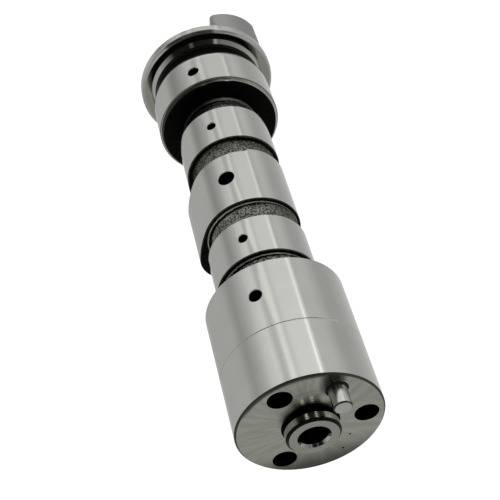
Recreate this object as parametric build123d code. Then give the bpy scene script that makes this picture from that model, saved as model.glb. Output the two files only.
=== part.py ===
"""Engine camshaft with three lobes, two journals, a drilled drive face and a driving lug.

Own frame, millimetres: the shaft axis is +Y, +Z is up, and the origin is the centre of the
ground drive face. The drive face looks along -Y and the driving lug ends the shaft at +Y.
Angles round the shaft are measured from +X towards +Z. The whole shaft is turned about its
axis at the end, so that it lies with its heavier side down.
"""
import os
from math import acos, cos, degrees, hypot, pi, radians, sin, sqrt

from build123d import *

os.makedirs("parts", exist_ok=True)

# Lengths along the shaft, from the drive face to the end of the lug.
end_journal_length = 41.2
neck_1_length = 8.5
lobe_c_width = 14.4
neck_2_length = 7.2
lobe_b_width = 22.0
neck_3_length = 7.3
lobe_a_width = 15.4
neck_4_length = 7.9
shoulder_width = 0.9
far_journal_length = 14.3
groove_width = 6.6
collar_width = 1.4
flange_width = 3.6
lug_length = 20.1

# Where each of them starts.
lobe_c_start = end_journal_length + neck_1_length
lobe_b_start = lobe_c_start + lobe_c_width + neck_2_length
lobe_a_start = lobe_b_start + lobe_b_width + neck_3_length
shoulder_start = lobe_a_start + lobe_a_width + neck_4_length
far_journal_start = shoulder_start + shoulder_width
far_journal_end = far_journal_start + far_journal_length
collar_start = far_journal_end + groove_width
flange_start = collar_start + collar_width
flange_end = flange_start + flange_width
lug_end = flange_end + lug_length

# The last turn about the axis, which brings the centre of mass below it.
lie_turn = 47.7

# Journals and the drive face.
journal_r = 20.0
end_chamfer = 0.5
edge_break = 0.25
ground_line_y = 18.7
ground_line_width = 0.30
ground_line_depth = 0.15

# Spigot on the drive face, with a bore up its middle that opens in a centring cone.
spigot_r = 7.4
spigot_height = 4.05
spigot_chamfer = 0.7
spigot_relief_width = 1.5
spigot_relief_depth = 0.5
face_recess_width = 0.45
centre_bore_r = 4.0
centre_bore_depth = 26.0
centre_cone_width = 0.5
centre_cone_depth = 0.87

# Three tapping holes on one pitch circle.
bolt_pitch_r = 14.9
bolt_hole_r = 3.35
bolt_hole_depth = 15.0
bolt_hole_count = 3
bolt_first_angle = 4.2
drill_point_angle = 118.0

# Stepped dowel pin, halfway between two of the tapping holes. Its bedded end is the larger,
# and the step is flush with the drive face.
pin_pitch_r = 14.35
pin_r = 2.5
pin_bed_r = 2.75
pin_stand_out = 6.0
pin_bed = 9.0
pin_end_break = 0.35
pin_hole_mouth_break = 0.3
pin_angle = bolt_first_angle + 180.0 / bolt_hole_count

# Two small centre punch dots on the drive face, as angle, radius and size.
punch_dots = ((-53.8, 15.9, 0.45), (-33.0, 13.0, 0.38))
punch_depth = 0.3

# Lobes. Each is a base circle, two flank arcs and a nose arc, all tangent.
base_r = 14.88
wide_lift = 4.9
wide_nose_r = 9.5
wide_flank_r = 39.3
narrow_lift = 4.9
narrow_nose_r = 8.5
narrow_flank_r = 43.0
lobe_edge_break = 0.2
lobe_c_nose = 246.0
lobe_b_nose = 228.7
lobe_a_nose = 246.0

# The mould halves met on a plane through the shaft, and left a step on the wide lobe's far face,
# which runs out over a short slope.
parting_angle = 79.0
parting_step = 0.9
parting_slope = 50.0

# Necks, as cast, a little off the turned axis.
cast_shift_x = 0.6
neck_1_r = 12.9
neck_2_r = 13.1
neck_3_r = 12.6
neck_4_r = 11.7
neck_corner_r = 0.6

# Shoulder before the far journal, the groove beyond it, the sloping collar and the flange. The
# far journal's last stretch is rounded off a little towards the groove.
shoulder_r = 19.3
journal_lead_length = 2.0
journal_lead_drop = 0.3
groove_r = 17.6
collar_r = 18.6
collar_top_r = 19.6
flange_r = 22.9
flange_front_round = 1.1
flange_back_chamfer = 0.4

# Driving lug, a half moon standing beyond the flange.
lug_arc_r = 15.5
lug_arc_x, lug_arc_z = 8.1, -1.8
lug_flat_x = 5.2
lug_outer_r = 22.0
lug_corner_r = 1.6
lug_end_break = 0.4

# Oil drillings as place along the shaft, angle round it, radius and the radius of the surface
# they open in. Each meets a gallery on the axis, and its mouth is lightly countersunk.
oil_holes = (
    (end_journal_length - 10.75, 114.0, 1.85, journal_r),
    (lobe_c_start + lobe_c_width / 2, 114.0, 1.4, base_r),
    (lobe_b_start + lobe_b_width / 2 + 0.8, 112.8, 2.6, base_r),
    (lobe_a_start + lobe_a_width / 2, 112.3, 1.45, base_r),
    (far_journal_start + 6.6, 111.3, 1.85, journal_r),
)
oil_mouth_break = 0.25
gallery_r = 3.0
gallery_past_last = 4.6


def ring_point(radius, angle, y):
    """Point at a radius and an angle round the shaft, a distance y along it."""
    return Vector(radius * cos(radians(angle)), y, radius * sin(radians(angle)))


def disc_plane(y):
    """Plane square to the shaft at y, drawn with x to the right and z up, facing -Y."""
    return Plane(origin=(0, y, 0), x_dir=(1, 0, 0), z_dir=(0, -1, 0))


def turned(points, rounds=None):
    """Solid turned about the shaft axis from (radius, y) points that start and end on the axis.

    The line that leaves a point is straight, or an arc through the middle point that rounds
    gives for it."""
    rounds = rounds or {}
    with BuildPart() as made:
        with BuildSketch(Plane.XY):
            with BuildLine():
                for start, end in zip(points, points[1:] + points[:1]):
                    if start in rounds:
                        ThreePointArc(start, rounds[start], end)
                    else:
                        Line(start, end)
            make_face()
        revolve(axis=Axis.Y)
    return made.part


def along_shaft(radius, y_from, y_to, x=0.0, z=0.0):
    """Round bar parallel to the shaft, from one y to another."""
    length = y_to - y_from
    plane = Plane(origin=(x, y_from, z), x_dir=(1, 0, 0), z_dir=(0, 1, 0))
    return extrude(plane * Circle(radius), amount=length)


def drilled(radius, depth, x=0.0, z=0.0):
    """Blind hole from the drive face, with the cone a drill leaves at its end."""
    point = radius / sin(radians(drill_point_angle / 2)) * cos(radians(drill_point_angle / 2))
    with BuildPart() as made:
        with BuildSketch(Plane.XY):
            with BuildLine():
                Polyline((0, -1), (radius, -1), (radius, depth), (0, depth + point), close=True)
            make_face()
        revolve(axis=Axis.Y)
    return Pos(x, 0, z) * made.part


def hole_mouth(radius, width, depth):
    """Cone that opens a hole in a face at y = 0, a width past the hole there and a depth into it."""
    reach = radius + 2 * width
    return turned([(0, -depth), (reach, -depth), (0, reach * depth / width - depth)])


def lobe_face(lift, nose_r, flank_r, nose_angle, plane):
    """Closed lobe outline: base arc, flank arc, nose arc, flank arc."""
    reach = base_r + lift - nose_r
    side_a = flank_r - base_r
    side_b = flank_r - nose_r
    corner = acos((reach**2 + side_a**2 - side_b**2) / (2 * reach * side_a))
    half = pi - corner
    nose = radians(nose_angle)

    def at(radius, angle):
        return (radius * cos(nose + angle), radius * sin(nose + angle))

    def flank_join(sign):
        fx, fz = at(-side_a, sign * half)
        nx, nz = at(reach, 0)
        span = hypot(nx - fx, nz - fz)
        return (fx + (nx - fx) * flank_r / span, fz + (nz - fz) * flank_r / span), (fx, fz)

    def flank_middle(sign):
        (jx, jz), (fx, fz) = flank_join(sign)
        bx, bz = at(base_r, sign * half)
        mx, mz = (jx + bx) / 2 - fx, (jz + bz) / 2 - fz
        scale = flank_r / hypot(mx, mz)
        return (fx + mx * scale, fz + mz * scale)

    left_join = flank_join(1)[0]
    right_join = flank_join(-1)[0]
    with BuildSketch(plane) as made:
        with BuildLine():
            ThreePointArc(at(base_r, half), at(-base_r, 0), at(base_r, -half))
            ThreePointArc(at(base_r, -half), flank_middle(-1), right_join)
            ThreePointArc(right_join, at(base_r + lift, 0), left_join)
            ThreePointArc(left_join, flank_middle(1), at(base_r, half))
        make_face()
    return made.sketch


def lobe(start, width, lift, nose_r, flank_r, nose_angle):
    """Ground lobe standing from start over its width, with broken edges."""
    face = lobe_face(lift, nose_r, flank_r, nose_angle, disc_plane(start))
    body = extrude(face, amount=-width)
    rims = body.edges().filter_by(lambda e: abs(e.center().Y - start) < 1e-4)
    rims += body.edges().filter_by(lambda e: abs(e.center().Y - start - width) < 1e-4)
    return chamfer(rims, lobe_edge_break)


def neck(radius, y_from, y_to):
    """As-cast neck with a small corner radius up each neighbouring face."""
    over = 1.0
    c = neck_corner_r
    with BuildPart() as made:
        with BuildSketch(Plane.XY):
            with BuildLine():
                Line((0, y_from - over), (radius + c, y_from - over))
                Line((radius + c, y_from - over), (radius + c, y_from))
                RadiusArc((radius + c, y_from), (radius, y_from + c), c)
                Line((radius, y_from + c), (radius, y_to - c))
                RadiusArc((radius, y_to - c), (radius + c, y_to), c)
                Line((radius + c, y_to), (radius + c, y_to + over))
                Line((radius + c, y_to + over), (0, y_to + over))
                Line((0, y_to + over), (0, y_from - over))
            make_face()
        revolve(axis=Axis.Y)
    return Pos(cast_shift_x, 0, 0) * made.part


# Drive end: the face, its spigot and the long end journal with its fine turned line.
relief_in = spigot_r - spigot_relief_depth
drive_end = turned([
    (0, -spigot_height),
    (spigot_r - spigot_chamfer, -spigot_height),
    (spigot_r, -spigot_height + spigot_chamfer),
    (spigot_r, -spigot_relief_width),
    (relief_in, -spigot_relief_width + edge_break),
    (relief_in, spigot_relief_depth),
    (spigot_r, spigot_relief_depth),
    (spigot_r + face_recess_width, 0),
    (journal_r - end_chamfer, 0),
    (journal_r, end_chamfer),
    (journal_r, ground_line_y - ground_line_width / 2),
    (journal_r - ground_line_depth, ground_line_y),
    (journal_r, ground_line_y + ground_line_width / 2),
    (journal_r, end_journal_length - edge_break),
    (journal_r - edge_break, end_journal_length),
    (0, end_journal_length),
])

# Far end: shoulder, journal, groove, sloping collar and flange.
lead_start = (journal_r, far_journal_end - journal_lead_length)
lead_arc_r = (journal_lead_length**2 + journal_lead_drop**2) / (2 * journal_lead_drop)
lead_sag = lead_arc_r - sqrt(lead_arc_r**2 - journal_lead_length**2 / 4)
flange_round_start = (flange_r - flange_front_round, flange_start)
far_rounds = {
    lead_start: (journal_r - lead_sag, far_journal_end - journal_lead_length / 2),
    flange_round_start: (
        flange_r - flange_front_round * (1 - sqrt(0.5)),
        flange_start + flange_front_round * (1 - sqrt(0.5)),
    ),
}
far_end = turned([
    (0, shoulder_start),
    (shoulder_r - edge_break, shoulder_start),
    (shoulder_r, shoulder_start + edge_break),
    (shoulder_r, far_journal_start),
    (journal_r - edge_break, far_journal_start),
    (journal_r, far_journal_start + edge_break),
    lead_start,
    (journal_r - journal_lead_drop, far_journal_end),
    (groove_r, far_journal_end),
    (groove_r, collar_start),
    (collar_r, collar_start),
    (collar_top_r, flange_start),
    flange_round_start,
    (flange_r, flange_start + flange_front_round),
    (flange_r, flange_end - flange_back_chamfer),
    (flange_r - flange_back_chamfer, flange_end),
    (0, flange_end),
], far_rounds)

# Lobes, with the step the parting plane left on the wide one.
lobe_c = lobe(lobe_c_start, lobe_c_width, narrow_lift, narrow_nose_r, narrow_flank_r, lobe_c_nose)
lobe_b = lobe(lobe_b_start, lobe_b_width, wide_lift, wide_nose_r, wide_flank_r, lobe_b_nose)
lobe_a = lobe(lobe_a_start, lobe_a_width, narrow_lift, narrow_nose_r, narrow_flank_r, lobe_a_nose)
lobe_b_long = lobe(
    lobe_b_start, lobe_b_width + parting_step, wide_lift, wide_nose_r, wide_flank_r, lobe_b_nose
)
step_y = lobe_b_start + lobe_b_width + parting_step / 2
half_block = Pos(4 * journal_r, 0, 0) * Box(8 * journal_r, 8 * journal_r, 8 * journal_r)
right_half = Rot(0, 90 - parting_angle, 0) * Pos(0, step_y, 0) * Rot(0, 0, -parting_slope) * half_block
lobe_b = lobe_b + (lobe_b_long & right_half)

# Necks between them.
neck_1 = neck(neck_1_r, end_journal_length, lobe_c_start)
neck_2 = neck(neck_2_r, lobe_c_start + lobe_c_width, lobe_b_start)
neck_3 = neck(neck_3_r, lobe_b_start + lobe_b_width, lobe_a_start)
neck_4 = neck(neck_4_r, lobe_a_start + lobe_a_width, shoulder_start)

# Driving lug: an off-centre arc cut by the shaft's own round and by a flat.
lug_plane = disc_plane(flange_end)
lug_arc = lug_plane * (Pos(lug_arc_x, lug_arc_z) * Circle(lug_arc_r))
lug_round = lug_plane * Circle(lug_outer_r)
lug_half = lug_plane * (Pos(lug_flat_x + 2 * lug_outer_r, 0) * Rectangle(4 * lug_outer_r, 4 * lug_outer_r))
lug_profile = lug_arc & lug_round & lug_half
lug = extrude(lug_profile, amount=-(lug_end - flange_end))
lug_sides = lug.edges().filter_by(Axis.Y)
lug = fillet(lug_sides, lug_corner_r)
lug_tip = lug.edges().filter_by(lambda e: abs(e.center().Y - lug_end) < 1e-4)
lug = chamfer(lug_tip, lug_end_break)

camshaft = drive_end + neck_1 + lobe_c + neck_2 + lobe_b + neck_3 + lobe_a + neck_4 + far_end + lug

# Centre bore, tapping holes, dowel hole and punch dots in the drive face.
bore_mouth = -spigot_height
camshaft -= Pos(0, bore_mouth, 0) * drilled(centre_bore_r, centre_bore_depth)
camshaft -= Pos(0, bore_mouth, 0) * hole_mouth(centre_bore_r, centre_cone_width, centre_cone_depth)
for i in range(bolt_hole_count):
    spot = ring_point(bolt_pitch_r, bolt_first_angle + 360.0 / bolt_hole_count * i, 0)
    camshaft -= drilled(bolt_hole_r, bolt_hole_depth, spot.X, spot.Z)
pin_spot = ring_point(pin_pitch_r, pin_angle, 0)
camshaft -= drilled(pin_bed_r, pin_bed, pin_spot.X, pin_spot.Z)
pin_mouth = hole_mouth(pin_bed_r, pin_hole_mouth_break, pin_hole_mouth_break)
camshaft -= Pos(pin_spot.X, 0, pin_spot.Z) * pin_mouth
for dot_angle, dot_reach, dot_r in punch_dots:
    spot = ring_point(dot_reach, dot_angle, 0)
    camshaft -= Pos(spot.X, 0, spot.Z) * turned([(0, -dot_r), (2 * dot_r, -dot_r), (0, punch_depth)])

# Oil gallery and the five radial drillings.
gallery_end = oil_holes[-1][0] + gallery_past_last
camshaft -= along_shaft(gallery_r, centre_bore_depth - spigot_height, gallery_end)
for hole_y, hole_angle, hole_r, surface_r in oil_holes:
    out = ring_point(1, hole_angle, 0)
    plane = Plane(origin=(0, hole_y, 0), x_dir=(0, 1, 0), z_dir=out)
    camshaft -= extrude(plane * Circle(hole_r), amount=journal_r + 1)
    mouth = Cone(hole_r, hole_r + 2 * oil_mouth_break, 2 * oil_mouth_break)
    camshaft -= plane * Pos(0, 0, surface_r) * mouth

# The dowel pin, bedded to the foot of its hole, both its ends lightly broken.
dowel_pin = Pos(pin_spot.X, 0, pin_spot.Z) * turned([
    (0, -pin_stand_out),
    (pin_r - pin_end_break, -pin_stand_out),
    (pin_r, -pin_stand_out + pin_end_break),
    (pin_r, 0),
    (pin_bed_r, 0),
    (pin_bed_r, pin_bed - pin_end_break),
    (pin_bed_r - pin_end_break, pin_bed),
    (0, pin_bed),
])

# Both are turned together on to the heavier side.
camshaft = Rot(0, lie_turn, 0) * camshaft.solids()[0]
dowel_pin = Rot(0, lie_turn, 0) * dowel_pin.solids()[0]

export_step(camshaft, "parts/camshaft.step")
export_step(dowel_pin, "parts/dowel_pin.step")
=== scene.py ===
"""An engine camshaft lying on a pale studio floor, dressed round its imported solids.

Lengths in the frame are metres. Sizes below are millimetres, along the shaft from the drive face
and round it from +X towards +Z, measured before the shaft was rolled on to its heavier side.
"""
import math

import bpy
import numpy as np
from mathutils import Matrix, Vector


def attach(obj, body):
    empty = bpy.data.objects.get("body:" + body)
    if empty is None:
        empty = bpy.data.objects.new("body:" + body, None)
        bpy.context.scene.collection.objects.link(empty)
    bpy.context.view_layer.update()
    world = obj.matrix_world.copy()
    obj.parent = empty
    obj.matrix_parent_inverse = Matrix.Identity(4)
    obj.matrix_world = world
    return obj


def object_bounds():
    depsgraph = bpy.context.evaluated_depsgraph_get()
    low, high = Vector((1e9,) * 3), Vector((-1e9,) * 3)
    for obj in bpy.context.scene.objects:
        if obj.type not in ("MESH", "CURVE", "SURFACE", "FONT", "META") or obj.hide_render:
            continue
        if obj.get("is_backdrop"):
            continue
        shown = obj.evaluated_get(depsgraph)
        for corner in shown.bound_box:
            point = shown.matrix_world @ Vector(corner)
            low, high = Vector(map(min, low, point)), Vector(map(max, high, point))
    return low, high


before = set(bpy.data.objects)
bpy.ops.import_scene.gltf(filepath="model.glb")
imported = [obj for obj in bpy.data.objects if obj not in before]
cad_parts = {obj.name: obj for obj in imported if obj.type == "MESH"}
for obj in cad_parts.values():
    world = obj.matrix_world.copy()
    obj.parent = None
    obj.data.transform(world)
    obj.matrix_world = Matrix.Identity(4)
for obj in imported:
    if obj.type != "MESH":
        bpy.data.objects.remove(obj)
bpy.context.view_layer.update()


# Camshaft. One chilled iron casting: journals, lobes and flange are ground bright all round, the
# drive face, spigot and groove are turned, and the lug is milled. The sides of the lobes keep the
# black scale of the mould. Painted shade darkens the drillings and other hollows, the edges that
# look at the drive end and patches of the drive face, and painted sheen streaks the drive face.
LIE = math.radians(47.7)
# stretches along the shaft
DRIVE_END = (-4.1, 0.55)
SPIGOT_WALL = (-3.4, -1.4)
SPIGOT_RELIEF = (-1.42, 0.55)
SCREW_HOLES = (0.05, 41.0)
TURNED_LINE = (18.5, 18.9)
LOBES = (41.1, 124.4)
GROOVE = (139.05, 145.7)
FLANGE_FACE = (147.0, 147.2)
FLANGE_FRONT = (146.95, 148.4)
# places along it: where the spigot's chamfer starts, the far journal's shoulder and the lug's root
SPIGOT_CHAMFER, SHOULDER, LUG_ROOT = -3.3, 123.9, 150.8
# radii, each where one finish gives way to the next
BORE, SPIGOT_FLAT, SPIGOT, JOURNAL = 4.0, 6.6, 7.4, 20.0
RELIEF_WALL, SHOULDER_RING = (6.8, 7.8), (18.9, 19.4)
GROOVE_WALL, INSIDE_JOURNAL, FLANGE_FLAT = 18.5, 18.6, 21.8
PIN_BED = 3.0
# each edge that looks at the drive end: where it is, and how light its painted shade is, from 0 to
# 1
NEAR_EDGES = ((49.7, 1.0), (71.3, 0.0), (100.6, 0.45), (124.8, 0.9))
# each drilling: how far along, how far round in degrees, and its radius
OIL_DRILLINGS = (
    (30.45, 114.0, 1.85), (56.9, 114.0, 1.4), (83.1, 112.8, 2.6), (108.3, 112.3, 1.45),
    (131.4, 111.3, 1.85),
)
PIN_CIRCLE, PIN_TURN = 14.35, math.radians(64.2)
GROUND = (0.62, 0.627, 0.59, 1)
GROUND_WARM = (0.585, 0.592, 0.548, 1)
TURNED = (0.54, 0.548, 0.478, 1)
TURNED_DULL = (0.38, 0.386, 0.33, 1)
TURNED_PAINTED_SHADE = (0.055, 0.058, 0.044, 1)
# painted edge shade, deeper and lighter
EDGE_PAINTED_SHADE = (0.075, 0.077, 0.062, 1)
EDGE_PAINTED_HALF_SHADE = (0.15, 0.153, 0.13, 1)
# scale colours: the mould's black scale, also painted as shade in hollows, on edges, in gaps on
# the spigot and on the necks' skin
BLACK_SCALE_AND_SHADE = (0.006, 0.006, 0.005, 1)
WORN_SCALE_AND_SHADE = (0.013, 0.013, 0.012, 1)
LUG_GREY = (0.37, 0.37, 0.357, 1)


class Wire:
    """One output in a node tree. Arithmetic between wires and numbers adds Math nodes, and the
    sign | takes the larger of the two."""

    def __init__(self, tree, socket=None):
        self.tree, self.socket = tree, socket

    def node(self, kind, settings=None, inputs=None, out=0):
        """A new node: its settings are set first, then its sockets take values or links."""
        made = self.tree.nodes.new(kind)
        for name, value in (settings or {}).items():
            if name == "stops":
                ramp = made.color_ramp
                while len(ramp.elements) < len(value):
                    ramp.elements.new(0.5)
                for element, (place, level) in zip(ramp.elements, value):
                    element.position = place
                    element.color = (level, level, level, 1)
            else:
                setattr(made, name, value)
        for key, value in (inputs or {}).items():
            if isinstance(value, Wire):
                self.tree.links.new(value.socket, made.inputs[key])
            else:
                made.inputs[key].default_value = value
        return Wire(self.tree, made.outputs[out])

    def math(self, operation, *values):
        return self.node("ShaderNodeMath", {"operation": operation}, dict(enumerate(values)))

    def __add__(self, other):
        return self.math("ADD", self, other)

    def __radd__(self, other):
        return self.math("ADD", other, self)

    def __sub__(self, other):
        return self.math("SUBTRACT", self, other)

    def __rsub__(self, other):
        return self.math("SUBTRACT", other, self)

    def __mul__(self, other):
        return self.math("MULTIPLY", self, other)

    def __rmul__(self, other):
        return self.math("MULTIPLY", other, self)

    def __truediv__(self, other):
        return self.math("DIVIDE", self, other)

    def __rtruediv__(self, other):
        return self.math("DIVIDE", other, self)

    def __pow__(self, other):
        return self.math("POWER", self, other)

    def __rpow__(self, other):
        return self.math("POWER", other, self)

    def __or__(self, other):
        return self.math("MAXIMUM", self, other)

    def __ror__(self, other):
        return self.math("MAXIMUM", other, self)

    def __abs__(self):
        return self.math("ABSOLUTE", self)

    def step(self, low, high):
        """Smooth rise from 0 below low to 1 above high."""
        return self.node(
            "ShaderNodeMapRange",
            {"interpolation_type": "SMOOTHSTEP"},
            {"Value": self, "From Min": low, "From Max": high},
        )

    def band(self, low, high, soft):
        """1 between low and high, with soft edges."""
        return self.step(low - soft, low + soft) * (1.0 - self.step(high - soft, high + soft))

    def turn_band(self, low, high, soft):
        """1 between two turns given in degrees, with soft edges, on a wire in radians."""
        return self.band(math.radians(low), math.radians(high), math.radians(soft))

    def noise(self, scale, detail, roughness=0.5):
        """Fractal noise from 0 to 1 on this vector."""
        return self.node(
            "ShaderNodeTexNoise",
            None,
            {"Vector": self, "Scale": scale, "Detail": detail, "Roughness": roughness},
        )

    def pick(self, factor, a, b):
        """Colour a where factor is 0, colour b where it is 1."""
        return self.node("ShaderNodeMix", {"data_type": "RGBA"}, {0: factor, 6: a, 7: b}, 2)

    def blend(self, factor, a, b):
        """Number a where factor is 0, number b where it is 1."""
        return self.node("ShaderNodeMix", {"data_type": "FLOAT"}, {0: factor, 2: a, 3: b}, 0)

    def vector(self, x, y, z):
        return self.node("ShaderNodeCombineXYZ", None, {0: x, 1: y, 2: z})

    def parts(self, vector):
        return [self.node("ShaderNodeSeparateXYZ", None, {0: vector}, k) for k in range(3)]


def new_material(name, specular=0.5, metallic=1.0):
    """A material with one Principled shader, and the wire that starts its nodes."""
    material = bpy.data.materials.new(name)
    material.use_nodes = True
    shader = material.node_tree.nodes["Principled BSDF"]
    shader.inputs["Metallic"].default_value = metallic
    shader.inputs["Specular IOR Level"].default_value = specular
    return material, shader, Wire(material.node_tree)


def shaft_place(w):
    """Place on the unrolled shaft, which is the object's place turned back by its roll and taken
    in millimetres: the vector, x, along and z, and then how far the face looks at the lug end."""
    here = w.node("ShaderNodeTexCoord", out=3)
    mm = w.node("ShaderNodeMapping", {"vector_type": "POINT"},
                {"Vector": here, "Rotation": (0, -LIE, 0), "Scale": (1000, 1000, 1000)})
    return mm, *w.parts(mm), w.parts(w.node("ShaderNodeTexCoord", out=1))[1]


def finish_with(w, shader, colour, roughness, height, metallic=None):
    """Joins a colour, a roughness and a height in millimetres to a shader, and where one is given,
    how metallic the surface is."""
    bump = w.node("ShaderNodeBump", None, {"Height": height, "Distance": 0.001, "Strength": 1.0})
    wires = {"Base Color": colour, "Roughness": roughness, "Normal": bump, "Metallic": metallic}
    for name, wire in wires.items():
        if wire:
            w.tree.links.new(wire.socket, shader.inputs[name])


steel, shader, w = new_material("ground_and_turned_steel")
mm, x, along, z, facing = shaft_place(w)
radius, angle = w.math("SQRT", x * x + z * z), w.math("ARCTAN2", z, x)
to_drive = 0.0 - facing
square_on = abs(facing).step(0.80, 0.97)
faces_drive = to_drive.step(0.80, 0.97)

# the marks of each finish: lines round the ground parts and rings on the turned ones, and rays
# on the turned ones, which roughen them and also paint radial sheen streaks into their colour
grinding = w.vector(x * 0.16, along * 11.0, z * 0.16).noise(1.0, 3.0, 0.6)
grinding_wide = w.vector(x * 0.05, along * 1.3, z * 0.05).noise(1.0, 2.0)
cloud = mm.noise(0.09, 3.0)
grit = mm.noise(2.2, 4.0, 0.65)
rings = w.vector(radius * 4.0, x * 0.015, z * 0.015).noise(1.0, 2.0, 0.6)
cosine, sine = w.math("COSINE", angle), w.math("SINE", angle)
rays_and_sheen = w.vector(cosine * 10.0, sine * 10.0, radius * 0.12).noise(1.0, 4.0, 0.62)
broad_ray_sheen = w.vector(cosine * 3.2, sine * 3.2, 0.0).noise(1.0, 2.0)

# where the turned, milled and cast parts lie
turned_face = faces_drive * (1.0 - along.step(0.2, 0.4))
flange_face = faces_drive * along.band(*FLANGE_FACE, 0.04)
flange_face = flange_face * (1.0 - radius.step(FLANGE_FLAT - 0.1, FLANGE_FLAT + 0.1))
groove = along.band(*GROOVE, 0.05) * (1.0 - radius.step(GROOVE_WALL - 0.1, GROOVE_WALL + 0.1))
lug = along.step(LUG_ROOT, LUG_ROOT + 0.1)
lobe_side = square_on * along.band(*LOBES, 0.05)

# where edges and thin rings lie: the rings are rougher, and painted shade darkens the edges
edges = along.band(*DRIVE_END, 0.04) * radius.step(SPIGOT_FLAT, SPIGOT_FLAT + 0.05)
edge_shade_lightness = 0.0
for place, lightness in NEAR_EDGES:
    edge = along.band(place - 0.05, place + 0.6, 0.02)
    edges = edges | edge
    edge_shade_lightness = edge_shade_lightness + edge * lightness
edges = edges * to_drive.band(0.45, 0.95, 0.03)
second_edge = edges * along.band(71.2, 71.9, 0.02)
shaded_edge = second_edge * angle.step(math.radians(112), math.radians(165)) * 0.7
# painted shade past the top of the shaft, on the far journal's shoulder ring and the flange's
# front
past_top = angle.step(math.radians(75), math.radians(104)) + (0.0 - angle).step(0.0, 0.4)
past_top = past_top + angle.turn_band(79, 87, 2) * 0.35
flange_front = along.band(*FLANGE_FRONT, 0.1) * to_drive.step(0.08, 0.16)
flange_front = flange_front * radius.step(FLANGE_FLAT - 0.2, FLANGE_FLAT)
flange_top = flange_front * angle.turn_band(83, 127, 3) * 0.9
shoulder = radius.band(*SHOULDER_RING, 0.02)
shoulder_ring = along.band(SHOULDER - 0.05, SHOULDER + 0.95, 0.02) * shoulder * past_top
dull_rings = along.band(SHOULDER + 0.05, SHOULDER + 0.95, 0.02) * shoulder
turned_line = along.band(*TURNED_LINE, 0.03) * radius.band(JOURNAL - 1.0, JOURNAL - 0.015, 0.005)
dull_rings = dull_rings | turned_line
# painted shade in the gaps between the strips the spigot's wall reflects
spigot_shaded_gaps = angle.turn_band(69, 81, 1.5) | angle.turn_band(89, 101, 1.5)
spigot_shaded_gaps = spigot_shaded_gaps | angle.turn_band(109, 127, 2)
spigot_shaded_gaps = spigot_shaded_gaps * along.band(*SPIGOT_WALL, 0.05)
spigot_shaded_gaps = spigot_shaded_gaps * radius.band(SPIGOT - 0.2, SPIGOT + 0.1, 0.03)

# painted shade where no light comes: the relief, the pin's bed, the groove, the screw holes and
# the drillings are painted black
relief = along.band(*SPIGOT_RELIEF, 0.04) * radius.band(*RELIEF_WALL, 0.03)
relief = relief * (1.0 - faces_drive * along.band(-0.05, 0.05, 0.02))
pin_dx, pin_dz = x - PIN_CIRCLE * math.cos(PIN_TURN), z - PIN_CIRCLE * math.sin(PIN_TURN)
pin_off = w.math("SQRT", pin_dx * pin_dx + pin_dz * pin_dz)
pin_gap = (1.0 - pin_off.step(PIN_BED + 0.02, PIN_BED + 0.08)) * along.band(-0.5, 1.0, 0.02)
bore_wall = (1.0 - along.step(0.0, 0.4)) * (1.0 - radius.step(BORE + 0.02, BORE + 0.06))
bore_wall = bore_wall * (1.0 - square_on) * along.step(SPIGOT_CHAMFER, SPIGOT_CHAMFER + 0.1)
screw_holes = along.band(*SCREW_HOLES, 0.02)
screw_holes = screw_holes * (1.0 - radius.step(INSIDE_JOURNAL, INSIDE_JOURNAL + 0.3))
inside = screw_holes | bore_wall | relief | pin_gap | groove
mouths = 0.0
for place, turn, bore in OIL_DRILLINGS:
    cos_turn, sin_turn = math.cos(math.radians(turn)), math.sin(math.radians(turn))
    this_side = (x * cos_turn + z * sin_turn).step(0.0, 1.0)
    across = z * cos_turn - x * sin_turn
    off = w.math("SQRT", across * across + (along - place) ** 2.0)
    inside = inside | (1.0 - off.step(bore + 0.03, bore + 0.06)) * this_side
    mouths = mouths | (1.0 - off.step(bore + 0.30, bore + 0.34)) * this_side

# painted shade on the turned face: low down, beside the pin, by the rim at the top and over the
# spigot
lower = (x * 0.12 - z) * turned_face + (broad_ray_sheen - 0.5) * 4.0
pin_lean = angle - 1.36
pin_side = pin_off + pin_lean * pin_lean * 50.0 - (radius - PIN_CIRCLE) * 0.60
by_the_pin = (1.0 - pin_side.step(2.6, 6.4)) * turned_face * radius.step(11.0, 13.0)
by_the_rim = radius.step(18.6, 19.2) * angle.band(1.35, 2.7, 0.15) * turned_face
by_the_spigot = (1.0 - radius.step(7.6, 11.0)) * angle.band(0.9, 2.5, 0.4) * turned_face

ground_colour = w.pick(cloud.step(0.35, 0.7) * 0.6 + grinding_wide * 0.3, GROUND, GROUND_WARM)
# painted sheen: radial light and dark streaks in the turned face's colour stand for its
# reflections
turned_colour = w.pick(rays_and_sheen.step(0.34, 0.66) * 0.55 + broad_ray_sheen * 0.45, TURNED_DULL, TURNED)
turned_colour = w.pick((0.0 - along).step(3.0, 3.6) * 0.7, turned_colour, TURNED_DULL)
turned_colour = w.pick(lower.step(8.0, 19.5) * 0.95, turned_colour, TURNED_PAINTED_SHADE)
turned_colour = w.pick(by_the_pin | by_the_rim * 0.85, turned_colour, TURNED_PAINTED_SHADE)
turned_colour = w.pick(by_the_spigot * along.step(-0.4, -0.2) * 0.6, turned_colour, TURNED_PAINTED_SHADE)
colour = w.pick(turned_face, ground_colour, turned_colour)
colour = w.pick(flange_face, colour, TURNED_DULL)
colour = w.pick(lug, colour, LUG_GREY)
colour = w.pick(lobe_side, colour, w.pick(grit.step(0.5, 0.75), BLACK_SCALE_AND_SHADE, WORN_SCALE_AND_SHADE))
# painted shade on the edges that look at the drive end
colour = w.pick(edges, colour, w.pick(edge_shade_lightness, EDGE_PAINTED_SHADE, EDGE_PAINTED_HALF_SHADE))
# painted shade on the left side of the second lobe's near edge
colour = w.pick(shaded_edge, colour, WORN_SCALE_AND_SHADE)
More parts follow.
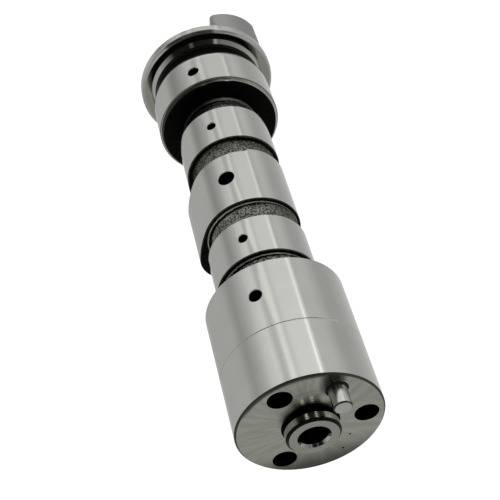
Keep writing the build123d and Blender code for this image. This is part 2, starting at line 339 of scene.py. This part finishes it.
# painted shade on the flange's front and the shoulder ring
colour = w.pick(flange_top | shoulder_ring, colour, EDGE_PAINTED_SHADE)
# painted shade on the spigot's chamfer
spigot_edge = edges * (0.0 - along).step(-SPIGOT_CHAMFER - 0.1, -SPIGOT_CHAMFER)
colour = w.pick(spigot_edge, colour, WORN_SCALE_AND_SHADE)
# painted shade in the gaps on the spigot's wall
colour = w.pick(spigot_shaded_gaps * 0.7, colour, WORN_SCALE_AND_SHADE)
# painted shade: the hollows are painted black
colour = w.pick(inside, colour, BLACK_SCALE_AND_SHADE)

roughness = 0.065 + grinding * 0.03
roughness = w.blend(turned_face, roughness, radius.step(9.5, 13.0) * 0.06 + 0.14 + rays_and_sheen * 0.06)
roughness = w.blend(flange_face, roughness, 0.11)
roughness = w.blend(dull_rings | mouths, roughness, 0.34)
roughness = w.blend(edges, roughness, 0.42)
roughness = w.blend(flange_front, roughness, 0.30)
roughness = w.blend(lug, roughness, 0.34 + cloud * 0.06)
roughness = w.blend(lobe_side | inside, roughness, 0.6)

round_lines = (grinding - 0.5) * 0.0016 * (1.0 - square_on) * (1.0 - lug)
ring_lines = (rings - 0.5) * 0.075 * square_on * (1.0 - lobe_side) * (1.0 - flange_face)
ring_lines = ring_lines * (1.0 - facing.step(0.8, 0.9) * 0.6)
scale_grain = (grit - 0.5) * 0.12 * lobe_side
finish_with(w, shader, colour, roughness, round_lines + ring_lines + scale_grain)

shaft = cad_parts["camshaft"]
shaft.data.materials.clear()
shaft.data.materials.append(steel)


# Necks. Between the lobes the casting is left as it came from the mould: a dark, grainy barrel, a
# little off the turned axis, that runs up the sides of its neighbours, with the faint ridge where
# the mould's halves met. Facing the lobes has left a narrow bright land at the end of three.
LAND = (0.60, 0.60, 0.55, 1)
SKIN_PIT = (0.05, 0.052, 0.04, 1)
SKIN_MID = (0.36, 0.365, 0.30, 1)
SKIN_TIP = (0.74, 0.745, 0.66, 1)
CAST_SHIFT = 0.6
CORNER = 0.6
COAT = 0.09
RIM_INSET = 0.30
LAND_OVER_CORNER = 0.10
PARTING = math.radians(79.0)
PARTING_WIDTH, PARTING_HEIGHT = 0.35, 0.10
FIRST_SEED = 40
# each lobe: base circle, lift, nose and flank radii, and where its nose points in degrees
WIDE = (14.88, 4.9, 9.5, 39.3, 228.7)
NARROW = (14.88, 4.9, 8.5, 43.0, 246.0)
# each neck: where it starts and ends, its barrel's radius, the rims of its neighbours (a lobe or a
# radius), how harsh its skin is, how wide its land is, how much painted light its skin gets on top
# and on its left, and how much painted shadow darkens it before its end
NECKS = {
    "neck_by_the_end_journal": dict(
        start=41.2, end=49.7, barrel=12.9, left=15.2, right=NARROW,
        harsh=1.0, land=0.60, painted_light_top=1.0, painted_light_left=0.9, shade=0.0),
    "neck_before_the_wide_lobe": dict(
        start=64.1, end=71.3, barrel=13.1, left=NARROW, right=WIDE,
        harsh=1.0, land=0.60, painted_light_top=0.75, painted_light_left=1.0, shade=0.0),
    "neck_after_the_wide_lobe": dict(
        start=93.3, end=100.6, barrel=12.6, left=WIDE, right=NARROW,
        harsh=0.85, land=0.0, painted_light_top=0.8, painted_light_left=0.62, shade=0.0),
    "neck_by_the_far_journal": dict(
        start=116.0, end=123.9, barrel=11.7, left=NARROW, right=19.3,
        harsh=0.75, land=1.20, painted_light_top=1.0, painted_light_left=0.05, shade=0.85),
}


def lobe_radius(turn, base, lift, nose, flank, nose_at):
    """Reach of a lobe at each turn: its nose arc near the nose, then its flank arc, then its base
    circle, each found where a ray from the axis meets that arc's circle."""
    reach = base + lift - nose
    far, near = flank - base, flank - nose
    half = math.pi - math.acos((reach**2 + far**2 - near**2) / (2 * reach * far))
    flank_x, flank_z = -far * math.cos(half), -far * math.sin(half)
    scale = flank / math.hypot(reach - flank_x, flank_z)
    join = math.atan2(flank_z * (1 - scale), flank_x + (reach - flank_x) * scale)
    away = np.abs((turn - math.radians(nose_at) + np.pi) % (2 * np.pi) - np.pi)
    on_nose = reach * np.cos(away) + np.sqrt(np.maximum(nose**2 - (reach * np.sin(away)) ** 2, 0))
    drop = flank_x * np.cos(away) + flank_z * np.sin(away)
    on_flank = drop + np.sqrt(np.maximum(drop**2 - far**2 + flank**2, 0))
    return np.where(away < abs(join), on_nose, np.where(away < half, on_flank, base))


def grain(rows, turns, width, length, seed):
    """Random height of unit spread, smoothed by a bell of a width across rows and a length across
    turns, both in cells. It runs on unbroken where the turns close."""
    noise = np.random.default_rng(seed).standard_normal((rows, turns))
    row_waves = np.fft.fftfreq(rows)[:, None] * width
    turn_waves = np.fft.fftfreq(turns)[None, :] * length
    bell = np.exp(-2 * np.pi**2 * (row_waves**2 + turn_waves**2))
    smooth = np.fft.ifft2(np.fft.fft2(noise) * bell).real
    return smooth / smooth.std()


def add_surface(name, points, marks):
    """Mesh of a grid of points, rows by turns, that closes round its turns: each point, the next
    row's, that one's next turn and the point's own next turn make a face. Marks are numbers kept
    on its points for its material."""
    rows, turns, _ = points.shape
    index = np.arange(rows * turns).reshape(rows, turns)
    index = np.hstack([index, index[:, :1]])
    quads = np.stack([index[:-1, :-1], index[1:, :-1], index[1:, 1:], index[:-1, 1:]], -1)
    quads = quads.reshape(-1, 4)
    mesh = bpy.data.meshes.new(name)
    mesh.vertices.add(rows * turns)
    mesh.vertices.foreach_set("co", (points * 0.001).astype(np.float32).ravel())
    mesh.loops.add(quads.size)
    mesh.loops.foreach_set("vertex_index", quads.astype(np.int32).ravel())
    mesh.polygons.add(len(quads))
    mesh.polygons.foreach_set("loop_start", np.arange(0, quads.size, 4, dtype=np.int32))
    mesh.polygons.foreach_set("use_smooth", np.ones(len(quads), dtype=bool))
    for mark, values in marks.items():
        values = np.broadcast_to(values, (rows, turns)).astype(np.float32)
        mesh.attributes.new(mark, "FLOAT", "POINT").data.foreach_set("value", values.ravel())
    mesh.update(calc_edges=True)
    made = bpy.data.objects.new(name, mesh)
    bpy.context.scene.collection.objects.link(made)
    return made


def rolled(x, y, z):
    """Points turned from the unrolled shaft to how it lies, about its own axis."""
    turned_x = x * math.cos(LIE) + z * math.sin(LIE)
    turned_z = z * math.cos(LIE) - x * math.sin(LIE)
    return np.stack(np.broadcast_arrays(turned_x, y, turned_z), -1)


def neck_skin(start, end, barrel, left, right, harsh, land, painted_light_top, painted_light_left, shade, seed,
              turns=640):
    """Skin of one neck, as a grid of rows along its section and turns round the shaft.

    The section runs down the left neighbour's side from just inside its rim, round a corner arc,
    along the barrel, over the land or round the other corner, and up the right side. Every point
    is moved off the solid along the section's own normal by a thin coat plus three grains, and
    the coat sinks into the solid at both rims."""
    turn = np.linspace(0, 2 * np.pi, turns, endpoint=False)[None, :]
    foot = CAST_SHIFT * np.cos(turn) + np.sqrt(barrel**2 - (CAST_SHIFT * np.sin(turn)) ** 2)
    rims = [(lobe_radius(turn, *rim) if isinstance(rim, tuple) else rim + 0 * turn) - RIM_INSET
            for rim in (left, right)]

    # how far each row is up the side, round the corner or along the barrel
    side = np.linspace(1, 0, 22)[:, None]
    bend = np.linspace(0, np.pi / 2, 8)[1:, None]
    run = np.linspace(0, 1, 50)[1:-1, None]
    if land:
        rise = np.array([0.0, 0.25, 0.75, 1.0, 1.0, 1.0, 1.0])[:, None]
        level = np.array([-0.14, -0.10, -0.04, 0.0, 0.34, 0.70, 1.0])[:, None]
        top = barrel + CORNER + LAND_OVER_CORNER
        stop = end - land * 1.14
        end_radial, end_place = foot + rise * (top - foot), end - land + level * land
        end_lean, end_lift = -1.0 * (rise < 1), 1.0 * (rise >= 1)
    else:
        rise = bend[::-1]
        top = foot + CORNER
        stop = end - CORNER
        end_radial = foot + CORNER * (1 - np.sin(rise))
        end_place = end - CORNER * (1 - np.cos(rise))
        end_lean, end_lift = -np.cos(rise), np.sin(rise)

    # the section's place and its normal, which leans along the shaft and lifts off it
    radial = np.vstack([foot + CORNER + side * (rims[0] - foot - CORNER),
                        foot + CORNER * (1 - np.sin(bend)), foot + 0 * run,
                        end_radial + 0 * turn, top + side[::-1] * (rims[1] - top)])
    place = np.vstack([start + 0 * side, start + CORNER * (1 - np.cos(bend)),
                       start + CORNER + (stop - start - CORNER) * run, end_place, end + 0 * side])
    lean = np.vstack([0 * side + 1, np.cos(bend), 0 * run, end_lean, 0 * side - 1])
    lift = np.vstack([0 * side, np.sin(bend), 0 * run + 1, end_lift, 0 * side])
    edge = np.vstack([side, 0 * bend, 0 * run, 0 * end_place, side[::-1]])
    bare = end_lift if land else 0 * end_place
    bare = np.vstack([0 * side, 0 * bend, 0 * run, bare, 0 * side])

    # the coat, its grains and the parting ridge
    rows = len(place)
    coat = COAT - 0.17 * np.clip((edge - 0.86) / 0.14, 0, 1) ** 2
    fine = grain(rows, turns, 1.0, 1.2, seed)
    coarse = grain(rows, turns, 2.0, 2.4, seed + 1)
    swell = grain(rows, turns, 9, 14, seed + 2)
    rough = (0.045 * fine + 0.032 * coarse + 0.030 * swell) * harsh
    rough = rough * (1 - edge**6) * (1 - 0.9 * bare) * np.where(edge > 0, 0.5, 1.0)
    from_seam = ((turn - PARTING + np.pi) % (2 * np.pi) - np.pi) * barrel
    seam = PARTING_HEIGHT * np.exp(-(from_seam / PARTING_WIDTH) ** 2)
    height = np.maximum(coat + rough + seam * lift, 0.012 - 0.3 * np.clip(edge - 0.86, 0, 1))
    radial, place = radial + height * lift, place + height * lean
    points = rolled(radial * np.cos(turn), place, radial * np.sin(turn))

    # painted light and shade on the skin: its own levels on top and on the left, darker on the
    # right, beside the land and before the end
    leftward = np.clip((np.degrees(turn) - 84) / 34, 0, 1) * (turn < math.radians(260))
    rightward = np.clip((80 - np.degrees(turn)) / 30, 0, 1) + (turn > math.radians(260))
    by_the_end = np.exp(-(((end - place) / 1.2) ** 2))
    pale = painted_light_top + (painted_light_left - painted_light_top) * leftward
    pale = pale * (1 - 0.88 * ((end - place < 0.4 * land) & (harsh >= 1)))
    pale = pale * (1 - 0.5 * rightward)
    pale = pale * (1 - shade * np.exp(-(((end - 2.3 - place) / 0.9) ** 2)))
    pale = pale * (1 + leftward * (by_the_end - 0.25) * (painted_light_left > 0.95))
    pale = pale * (1 - 0.45 * bare * leftward)
    climb = np.vstack([0 * side, 0 * bend, 0 * run, 1 + 0 * end_place, side[::-1] * -2.2 + 1])
    climb = np.clip(climb, 0, 1) * leftward * (land == 0)
    return points, {"proud": rough / 0.06, "bare": bare, "pale": pale, "harsh": harsh,
                    "climb": climb}


skin, shader, w = new_material("cast_skin", specular=0.2, metallic=0.0)
mm, *_, facing = shaft_place(w)
proud, bare, pale, harsh, climb = [
    w.node("ShaderNodeAttribute", {"attribute_name": mark}, out=2)
    for mark in ("proud", "bare", "pale", "harsh", "climb")]
on_side = abs(facing).step(0.75, 0.95) * (1.0 - climb)
speckle = mm.noise(1.9, 3.0, 0.75)
patches = mm.noise(0.5, 3.0)
raised = 0.62 + proud * 0.10 + ((speckle - 0.5) * 4.2 + (patches - 0.5) * 0.5) * harsh
barrel_colour = w.pick(raised.step(0.40, 0.66), SKIN_PIT, SKIN_MID)
barrel_colour = w.pick(raised.step(0.66, 0.96), barrel_colour, SKIN_TIP)
barrel_colour = w.pick(bare, barrel_colour, LAND)
# painted shade: where the painted light is low the skin is painted dark
barrel_colour = w.pick(pale, WORN_SCALE_AND_SHADE, barrel_colour)
# painted light: above 1 the skin is painted paler
barrel_colour = w.pick(pale - 1.0, barrel_colour, SKIN_TIP)
side_colour = w.pick(speckle.step(0.5, 0.75), BLACK_SCALE_AND_SHADE, WORN_SCALE_AND_SHADE)
finish_with(
    w, shader,
    colour=w.pick(on_side * (1.0 - bare), barrel_colour, side_colour),
    roughness=w.blend(bare, 0.46 + speckle * 0.2, 0.3),
    height=(speckle - 0.5) * 0.09 * (1.0 - bare),
    metallic=w.blend(on_side, 0.06 + raised.step(0.7, 1.0) * 0.35, 1.0),
)

for order, (name, sizes) in enumerate(NECKS.items()):
    grid, marks = neck_skin(**sizes, seed=FIRST_SEED + 7 * order)
    piece = add_surface(name, grid, marks)
    piece.data.materials.append(skin)
    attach(piece, "root")


# Dowel pin. A hardened pin, ground all along and broken at its end, is pressed into the drive face
# halfway between two of the screw holes. Its wider foot is sunk in the face and shows as a ring,
# painted black as shade, and painted shade darkens the break at its end.
PIN_STEEL = (0.66, 0.665, 0.625, 1)
PIN_SHADE = (0.55, 0.555, 0.515, 1)
PIN_FOOT = -0.10
pin_steel, shader, w = new_material("pin_steel")
_, x, along, z, facing = shaft_place(w)
rub = w.vector(x * 0.4, along * 9.0, z * 0.4).noise(1.0, 2.0)
foot = along.step(PIN_FOOT, PIN_FOOT + 0.06)
colour = w.pick(rub, PIN_STEEL, PIN_SHADE)
# painted shade on the break at the pin's end
colour = w.pick(abs(facing).band(0.35, 0.88, 0.05), colour, EDGE_PAINTED_SHADE)
roughness = w.blend(abs(facing).step(0.8, 0.95), 0.19 + rub * 0.05, 0.34)
finish_with(
    w, shader,
    # painted shade: the sunk foot is painted black
    colour=w.pick(foot, colour, BLACK_SCALE_AND_SHADE),
    roughness=w.blend(foot, roughness, 0.6),
    height=(rub - 0.5) * 0.0012,
    metallic=1.0 - foot,
)
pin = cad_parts["dowel_pin"]
pin.data.materials.clear()
pin.data.materials.append(pin_steel)


# Floor. A plain pale sheet that touches the flange and the edge of the end journal, the two
# places the shaft rests on. It doesn't show in the metal, whose light comes from the soft boxes.
JOURNAL_EDGE, FLANGE_MIDDLE = 0.5, 149.0
TOUCH_JOURNAL, TOUCH_FLANGE = -20.0, -22.9
SHEET_HALF, SHEET_MIDDLE, SHEET_GAP = 3.0, 0.08, 0.0001
PALE = 0.97
slope = (TOUCH_FLANGE - TOUCH_JOURNAL) / (FLANGE_MIDDLE - JOURNAL_EDGE)
across = np.array([-1, 1, 1, -1]) * SHEET_HALF
along = SHEET_MIDDLE + np.array([-1, -1, 1, 1]) * SHEET_HALF
height = (TOUCH_JOURNAL + slope * (along * 1000 - JOURNAL_EDGE)) * 0.001 - SHEET_GAP
floor_mesh = bpy.data.meshes.new("floor")
floor_mesh.from_pydata(np.stack([across, along, height], -1), [], [(0, 1, 2, 3)])
floor = bpy.data.objects.new("floor", floor_mesh)
bpy.context.scene.collection.objects.link(floor)
floor.visible_glossy = floor.visible_diffuse = False
paper, shader, w = new_material("pale_floor", metallic=0.0)
shader.inputs["Base Color"].default_value = (0.3, 0.3, 0.3, 1)
shader.inputs["Roughness"].default_value = 0.9
shader.inputs["Emission Color"].default_value = (1, 1, 1, 1)
shader.inputs["Emission Strength"].default_value = PALE
floor_mesh.materials.append(paper)
floor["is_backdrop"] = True


# Studio. Long soft boxes hang behind and above the shaft with dim gaps between them. On the drive
# end's side the room is dark, with two narrow strips overhead, pale sides and a pale table below.
# Each box is given by where it stands round the shaft's axis, in degrees, and how strong it is.
BOXES_BEHIND = (
    (-46, 0.60), (-34, 0.565), (-22, 0.53), (-10, 0.50), (2, 0.478), (16, 0.49), (26, 0.575),
    (38, 0.66), (50, 0.67), (56.6, 0.67), (58.9, 0.86), (60.6, 1.06), (64.0, 1.12), (66.2, 1.0),
    (69, 0.94), (91, 0.93), (98.6, 0.80), (103.4, 1.05), (107.2, 1.05), (111.5, 0.74),
    (116.5, 0.66), (125, 0.91), (138, 0.78), (148, 0.595), (158, 0.48), (168, 0.41),
    (174, 0.46), (184, 0.54), (206, 0.536), (230, 0.50), (246, 0.46), (268, 0.50),
)
SIDES_IN_FRONT = (
    (-90, 0.45), (-30, 0.45), (-4, 0.48), (16, 0.36), (36, 0.27), (58, 0.22), (63, 0.12),
    (65.4, 0.4), (69.0, 0.4), (71.5, 0.02), (100, 0.01), (104.6, 0.01), (106.8, 0.12),
    (109.4, 0.12), (112, 0.01), (142, 0.01), (153, 0.21), (175, 0.48), (200, 0.46), (230, 0.32),
    (270, 0.45),
)
LOW_IN_FRONT = (
    (-90, 0.50), (-60, 0.46), (-40, 0.22), (-10, 0.45), (8, 1.2), (26, 1.6), (32, 0.40),
    (35, 0.05), (60, 0.02), (64.6, 0.35), (65.8, 4.0), (70.0, 4.0), (72, 0.45), (78, 0.06),
    (103, 0.04), (105.8, 4.0), (110.4, 4.0), (113.2, 0.07), (150, 0.03), (166, 0.25), (200, 0.45),
    (222, 0.34), (240, 0.40), (270, 0.50),
)
BOXES_AHEAD = (
    (-90, 0.30), (-52, 0.34), (-48, 0.60), (-20, 0.55), (-14, 0.40), (28, 0.40), (38, 0.16),
    (58, 0.14), (72, 0.20), (100, 0.20), (112, 0.14), (146, 0.14), (152, 0.70), (184, 0.66),
    (190, 0.34), (202, 0.34), (208, 0.60), (232, 0.54), (238, 0.30), (270, 0.30),
)
END_WALL = 0.78
STRIP_BEHIND = 0.62


def round_ramp(w, at, levels):
    """Levels round the axis, blended from one place to the next."""
    stops = [(place / 360 + 0.25, float(level)) for place, level in levels]
    ramp = w.node("ShaderNodeValToRGB", {"stops": stops}, {0: at})
    return w.node("ShaderNodeRGBToBW", None, {0: ramp})


world = bpy.data.worlds.new("studio")
bpy.context.scene.world = world
world.use_nodes = True
w = Wire(world.node_tree)
sight = w.node("ShaderNodeMapping", {"vector_type": "POINT"},
               {"Vector": w.node("ShaderNodeTexCoord", out=0), "Rotation": (0, -LIE, 0)})
dx, dy, dz = w.parts(sight)
around = w.math("ARCTAN2", 0.0 - dx, dz) / (2 * math.pi) + 0.5
past_strip = dy - STRIP_BEHIND

# behind: one strip hangs aslant and is brightest near the drive end, and the boxes fade far off
slanted = around + past_strip * 0.100 * around.band(0.390, 0.466, 0.022)
nearer = 1.0 - w.math("MINIMUM", (dy - 0.61) / 0.12 | 0.0, 1.0)
glare = slanted.band(0.4226, 0.4276, 0.0016) * nearer * 0.50
overhead = around.band(0.385, 0.765, 0.025)
fading = 1.0 - past_strip.step(-0.02, 0.26) * 0.26 * overhead * (1.0 - dy.step(0.84, 0.94))
behind = (round_ramp(w, slanted, BOXES_BEHIND) + glare) * fading
behind = w.blend(dy.step(0.88, 0.95), behind, END_WALL)

# in front: the sides, lower down the table and strips, and straight ahead a row of boxes
low = (0.0 - dy).step(0.46, 0.53)
in_front = w.blend(low, round_ramp(w, around, SIDES_IN_FRONT), round_ramp(w, around, LOW_IN_FRONT))
ahead = (0.0 - dy).step(0.62, 0.70) * (1.0 - (0.0 - dz).step(0.1, 0.4))
in_front = w.blend(ahead, in_front, round_ramp(w, around, BOXES_AHEAD))

# the camera itself sees a backdrop as pale as the floor
level = w.blend(dy.step(-0.06, 0.22), in_front, behind)
level = w.blend(w.node("ShaderNodeLightPath"), level, PALE)
background = world.node_tree.nodes["Background"]
world.node_tree.links.new(level.socket, background.inputs["Color"])


# Camera. It looks down along the shaft from the drive end, as the photograph does, and is rolled
# with the shaft.
STAND = (-0.050316, -0.163728, 0.232356)
LOOK = (0.14600, 0.69443, -0.70459)
HALF_PICTURE, PICTURE_AWAY = 250, 1111.9
camera_data = bpy.data.cameras.new("camera")
camera = bpy.data.objects.new("camera", camera_data)
bpy.context.scene.collection.objects.link(camera)
look = Vector(LOOK).to_track_quat("-Z", "Y").to_matrix().to_4x4()
camera.matrix_world = Matrix.Rotation(LIE, 4, "Y") @ Matrix.Translation(STAND) @ look
camera_data.sensor_fit = "HORIZONTAL"
camera_data.angle = 2 * math.atan(HALF_PICTURE / PICTURE_AWAY)
camera_data.clip_start, camera_data.clip_end = 0.01, 20
bpy.context.scene.camera = camera
bpy.context.scene.view_settings.view_transform = "Standard"

low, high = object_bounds()
